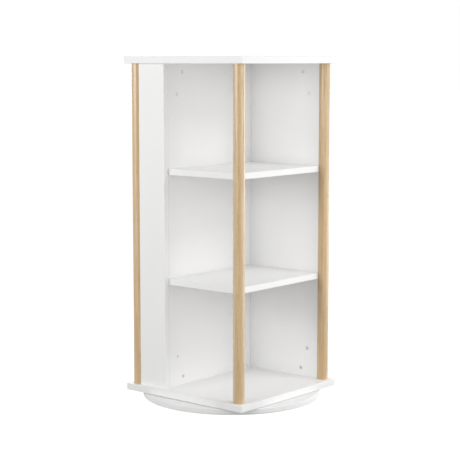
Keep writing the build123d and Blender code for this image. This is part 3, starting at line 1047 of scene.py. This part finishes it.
@dataclass
class JointHardware:
    """Cams, cam bolts and shelf pins that hold the cabinet together."""

    rim_chamfer_mm: float = 0.5
    dish_radius_mm: float = 4.0
    dish_depth_mm: float = 0.3
    cross_length_mm: float = 6.0
    cross_width_mm: float = 1.3
    cross_depth_mm: float = 2.0
    cross_step_mm: float = 0.05
    arrow_length_mm: float = 1.2
    arrow_width_mm: float = 0.5
    arrow_depth_mm: float = 0.3
    bolt_hole_mm: float = 6.2
    bolt_hole_depth_mm: float = 7.0
    pin_dome_mm: float = 0.8
    pin_groove_mm: float = 0.4
    pin_groove_start_mm: float = 3.2
    pin_groove_end_mm: float = 2.4

    def dress(self, nodes: dict[str, Piece]) -> None:
        """Give the bolts their plating.

        Args:
            nodes: Objects of the frame by name.
        """
        wear(nodes["cam_bolts"], ZincPlatedSteel())

    def cam_places(self, cams: list[Solid], bolts: list[Solid]) -> list[Place]:
        """Find how each cam is turned from the bolt that it pulls on.

        Args:
            cams: Boxes of the cams.
            bolts: Boxes of the bolts.

        Returns:
            For each cam, the middle of its visible end, the way it faces and the way to its bolt.
        """
        places = []
        for cam in cams:
            bolt = cam.nearest(bolts)
            offset = cam.centre - bolt.centre
            facing = along_axis(offset, cam.long_axis)
            point = cam.centre + facing * cam.size[cam.long_axis] / 2
            places.append(Place(point, facing, along_axis(-offset, bolt.long_axis)))
        return places

    def build_cams(self, cam_node: Piece, bolt_node: Piece) -> None:
        """Make the cams with a chamfered rim, a dished face, a cross recess, an arrow and a bolt hole.

        Args:
            cam_node: The frame's cams, whose places and sizes are kept.
            bolt_node: The frame's cam bolts.
        """
        cams = loose_solids(cam_node)
        bolts = loose_solids(bolt_node)
        places = self.cam_places(cams, bolts)
        radius = min(cams[0].size) / 2
        height = max(cams[0].size)
        chamfer = self.rim_chamfer_mm * MM
        dish = self.dish_depth_mm * MM
        dish_radius = self.dish_radius_mm * MM
        bolt_depth = (places[0].point - cams[0].nearest(bolts).centre).dot(places[0].facing)

        form = RepeatedForm("zinc_cam_locks")
        body = form.turned(
            [
                Ring("Foot pole", 0.0, -height),
                Ring("Foot face", radius - chamfer, -height),
                Ring("Foot rim", radius, chamfer - height),
                Ring("Head rim", radius, -chamfer),
                Ring("Head face", radius - chamfer, 0.0),
                Ring("Dish rim", dish_radius, 0.0),
                Ring("Dish floor", dish_radius - dish, -dish),
                Ring("Dish pole", 0.0, -dish),
            ]
        )
        cross_size = Vector((self.cross_length_mm, self.cross_width_mm, self.cross_depth_mm)) * MM
        hub = Vector((0, 0, -dish))
        arrow_size = Vector((self.arrow_length_mm, self.arrow_width_mm, 2 * self.arrow_depth_mm)) * MM
        arrow_middle = Vector((radius - chamfer, 0, 0))
        hole_reach = self.bolt_hole_depth_mm * MM
        hole = add_node(
            form.tree,
            "GeometryNodeMeshCylinder",
            {
                "Vertices": SIDES,
                "Radius": form.size("Bolt hole radius", self.bolt_hole_mm * MM / 2),
                "Depth": form.size("Bolt hole depth", hole_reach),
            },
        )
        bored = add_node(
            form.tree,
            "GeometryNodeTransform",
            {
                "Geometry": hole.outputs["Mesh"],
                "Translation": Vector((radius - hole_reach / 2 + chamfer, 0, -bolt_depth)),
                "Rotation": (0, math.pi / 2, 0),
            },
        )
        cam = form.cut(
            body,
            [
                *form.cross(cross_size, self.cross_step_mm * MM, hub),
                form.block("Arrow", arrow_size, arrow_middle),
                bored.outputs["Geometry"],
            ],
        )
        hand_over(form.piece(cam, places, DieCastZinc()), Body.CABINET, "cam_locks")

    def build_shelf_pins(self, node: Piece) -> None:
        """Make the shelf pins with a domed end and a groove.

        Args:
            node: The frame's pins, whose places and sizes are kept.
        """
        pins = loose_solids(node)
        radius = min(pins[0].size) / 2
        half = max(pins[0].size) / 2
        dome = self.pin_dome_mm * MM
        groove = self.pin_groove_mm * MM
        groove_start = half - self.pin_groove_start_mm * MM
        groove_end = half - self.pin_groove_end_mm * MM
        form = RepeatedForm("steel_shelf_pins")
        pin = form.turned(
            [
                Ring("Wall pole", 0.0, -half),
                Ring("Wall face", radius - groove, -half),
                Ring("Wall rim", radius, groove - half),
                Ring("Groove start", radius, groove_start),
                Ring("Groove floor", radius - groove, groove_start + groove),
                Ring("Groove floor end", radius - groove, groove_end),
                Ring("Groove end", radius, groove_end + groove),
                Ring("Dome foot", radius, half - dome),
                Ring("Dome", radius - dome * ROUND_MIDDLE, half - dome * ROUND_MIDDLE),
                Ring("Dome top", radius - dome, half),
                Ring("Dome pole", 0.0, half),
            ]
        )
        places = [Place(found.centre, along_axis(-found.centre, Y_AXIS), ASIDE) for found in pins]
        hand_over(form.piece(pin, places, ZincPlatedSteel()), Body.CABINET, "shelf_pins")


@dataclass(frozen=True)
class SoftBox:
    """A large area lamp that points at a spot on the object, in metres and watts."""

    name: str
    place: tuple[float, float, float]
    aim: tuple[float, float, float]
    width: float
    height: float
    watts: float

    def hang(self) -> None:
        """Add the lamp to the scene."""
        lamp = bpy.data.lights.new(self.name, "AREA")
        lamp.shape = "RECTANGLE"
        lamp.size = self.width
        lamp.size_y = self.height
        lamp.energy = self.watts
        stand = bpy.data.objects.new(self.name, lamp)
        stand.location = self.place
        stand.rotation_euler = (Vector(self.aim) - Vector(self.place)).to_track_quat("-Z", "Y").to_euler()
        stand.visible_camera = False
        bpy.context.scene.collection.objects.link(stand)


@dataclass
class Studio:
    """White studio: a pale floor, an even surround and soft lamps."""

    floor_side: float = 60.0
    floor_tone: str = "#9F9F9F"
    floor_glow: float = 0.95
    white: str = "#FFFFFF"
    surround_light: float = 0.38
    lamps: tuple[SoftBox, ...] = (
        SoftBox("left_lamp", (-0.6, -1.6, 1.0), (0.0, 0.0, 0.7), 1.0, 0.6, 9.0),
        SoftBox("front_lamp", (0.0, -2.8, 0.9), (0.0, 0.0, 0.5), 1.0, 1.0, 15.0),
        SoftBox("front_right_lamp", (2.3, -1.4, 0.9), (0.0, 0.0, 0.5), 1.6, 1.6, 5.8),
        SoftBox("right_lamp", (2.6, 0.3, 0.9), (0.0, 0.0, 0.5), 2.0, 1.6, 18.6),
        SoftBox("rim_lamp", (0.6, 2.75, 0.6), (0.0, 0.0, 0.5), 1.0, 1.0, 11.0),
        SoftBox("low_lamp", (1.2, 1.0, 0.25), (0.0, 0.0, 0.3), 0.8, 0.4, 3.2),
        SoftBox("high_lamp", (1.7, 0.6, 2.1), (0.0, 0.0, 0.5), 1.0, 1.0, 17.2),
        SoftBox("back_lamp", (-2.4, 1.6, 1.5), (0.0, 0.0, 0.5), 2.0, 2.0, 30.0),
    )

    def seen_directly(self, tree: Tree) -> Socket:
        """Tell rays that show the background, also in a reflection, from rays that light the object.

        Args:
            tree: Node tree of the floor or of the surround.

        Returns:
            1 for the rays that show the background, and 0 for the others.
        """
        path = add_node(tree, "ShaderNodeLightPath")
        shown = add_node(
            tree, "ShaderNodeMath", {0: path.outputs["Is Camera Ray"], 1: path.outputs["Is Glossy Ray"]}
        )
        either = add_node(
            tree,
            "ShaderNodeMath",
            {0: shown.outputs[0], 1: path.outputs["Is Transmission Ray"]},
            use_clamp=True,
        )
        return either.outputs[0]

    def build_surround(self) -> None:
        """Make a world that looks white and lights the object evenly and less strongly."""
        world = bpy.data.worlds.new("white_surround")
        tree = empty_tree(world)
        light = add_node(
            tree, "ShaderNodeBackground", {"Color": linear(self.white), "Strength": self.surround_light}
        )
        look = add_node(tree, "ShaderNodeBackground", {"Color": linear(self.white), "Strength": 1.0})
        either = add_node(
            tree,
            "ShaderNodeMixShader",
            {0: self.seen_directly(tree), 1: light.outputs[0], 2: look.outputs[0]},
        )
        add_node(tree, "ShaderNodeOutputWorld", {"Surface": either.outputs[0]})
        bpy.context.scene.world = world

    def floor_material(self) -> Material:
        """Return a floor that looks white and still takes the object's shadow."""
        material = bpy.data.materials.new("pale_floor")
        material.cycles.emission_sampling = "NONE"
        tree = empty_tree(material)
        glow = add_node(
            tree, "ShaderNodeMath", {0: self.seen_directly(tree), 1: self.floor_glow}, operation="MULTIPLY"
        )
        shine = add_node(
            tree, "ShaderNodeEmission", {"Color": linear(self.white), "Strength": glow.outputs[0]}
        )
        paint = add_node(tree, "ShaderNodeBsdfDiffuse", {"Color": linear(self.floor_tone)})
        both = add_node(tree, "ShaderNodeAddShader", {0: shine.outputs[0], 1: paint.outputs[0]})
        add_node(tree, "ShaderNodeOutputMaterial", {"Surface": both.outputs[0]})
        return material

    def build_floor(self) -> None:
        """Lay the floor that the object stands on."""
        half = self.floor_side / 2
        sheet = bpy.data.meshes.new("studio_floor")
        rim = [(-half, -half, 0), (half, -half, 0), (half, half, 0), (-half, half, 0)]
        sheet.from_pydata(rim, [], [(0, 1, 2, 3)])
        sheet.materials.append(self.floor_material())
        floor = bpy.data.objects.new("studio_floor", sheet)
        bpy.context.scene.collection.objects.link(floor)

    def build(self) -> None:
        """Set up the surround, the floor, the lamps and plain colours."""
        bpy.context.scene.view_settings.view_transform = "Standard"
        self.build_surround()
        self.build_floor()
        for lamp in self.lamps:
            lamp.hang()
            log.info("hung %s", lamp.name)


@dataclass(frozen=True)
class StudioCamera:
    """Camera on a tripod at the corner of the bookshelf, looking slightly down."""

    azimuth_deg: float = 40.068
    pitch_deg: float = 6.975
    distance: float = 3.6907
    aim_height: float = 0.4459
    aim_aside: float = -0.0045
    lens_mm: float = 108.306
    sensor_mm: float = 36.0

    def build(self) -> None:
        """Add the camera and look through it."""
        azimuth = math.radians(self.azimuth_deg)
        pitch = math.radians(self.pitch_deg)
        aside = Vector((math.cos(azimuth), math.sin(azimuth), 0)) * self.aim_aside
        back = Vector((math.sin(azimuth), -math.cos(azimuth), math.tan(pitch))).normalized()
        lens = bpy.data.cameras.new("studio_camera")
        lens.lens = self.lens_mm
        lens.sensor_width = self.sensor_mm
        camera = bpy.data.objects.new("studio_camera", lens)
        camera.location = Vector((0, 0, self.aim_height)) + aside + back * self.distance
        camera.rotation_euler = (-back).to_track_quat("-Z", "Y").to_euler()
        bpy.context.scene.collection.objects.link(camera)
        bpy.context.scene.camera = camera


def corners(box: tuple[Vector, Vector]) -> list[list[float]]:
    """Turn a box's two corners into plain lists."""
    return [list(corner) for corner in box]


def main() -> None:
    """Load the frame, build and dress each sub-assembly, and set up the studio."""
    logging.basicConfig(level=logging.INFO, format="%(name)s: %(message)s")
    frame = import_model()
    nodes = frame["nodes"]

    StudioCamera().build()
    Studio().build()

    turntable = Turntable()
    turntable.dress(nodes)
    turntable.build_pads(nodes["foot_pads"])
    turntable.build_balls(nodes["bearing_balls"])
    Cabinet().dress(nodes)
    Columns().dress(nodes)
    hardware = JointHardware()
    hardware.dress(nodes)
    hardware.build_cams(nodes["cam_locks"], nodes["cam_bolts"])
    hardware.build_shelf_pins(nodes["shelf_pins"])
    for screws in (
        WoodScrews("outer_ring_screws", Body.BASE, UP, shank_mm=4.0, pitch_mm=1.6, plain_mm=0.6),
        WoodScrews("inner_ring_screws", Body.CABINET, -UP, shank_mm=4.0, pitch_mm=1.6, plain_mm=2.0),
        WoodScrews("column_screws", Body.CABINET, -UP, shank_mm=6.0, pitch_mm=2.8, plain_mm=14.0),
    ):
        screws.build(nodes[screws.node])


if __name__ == "__main__":
    main()
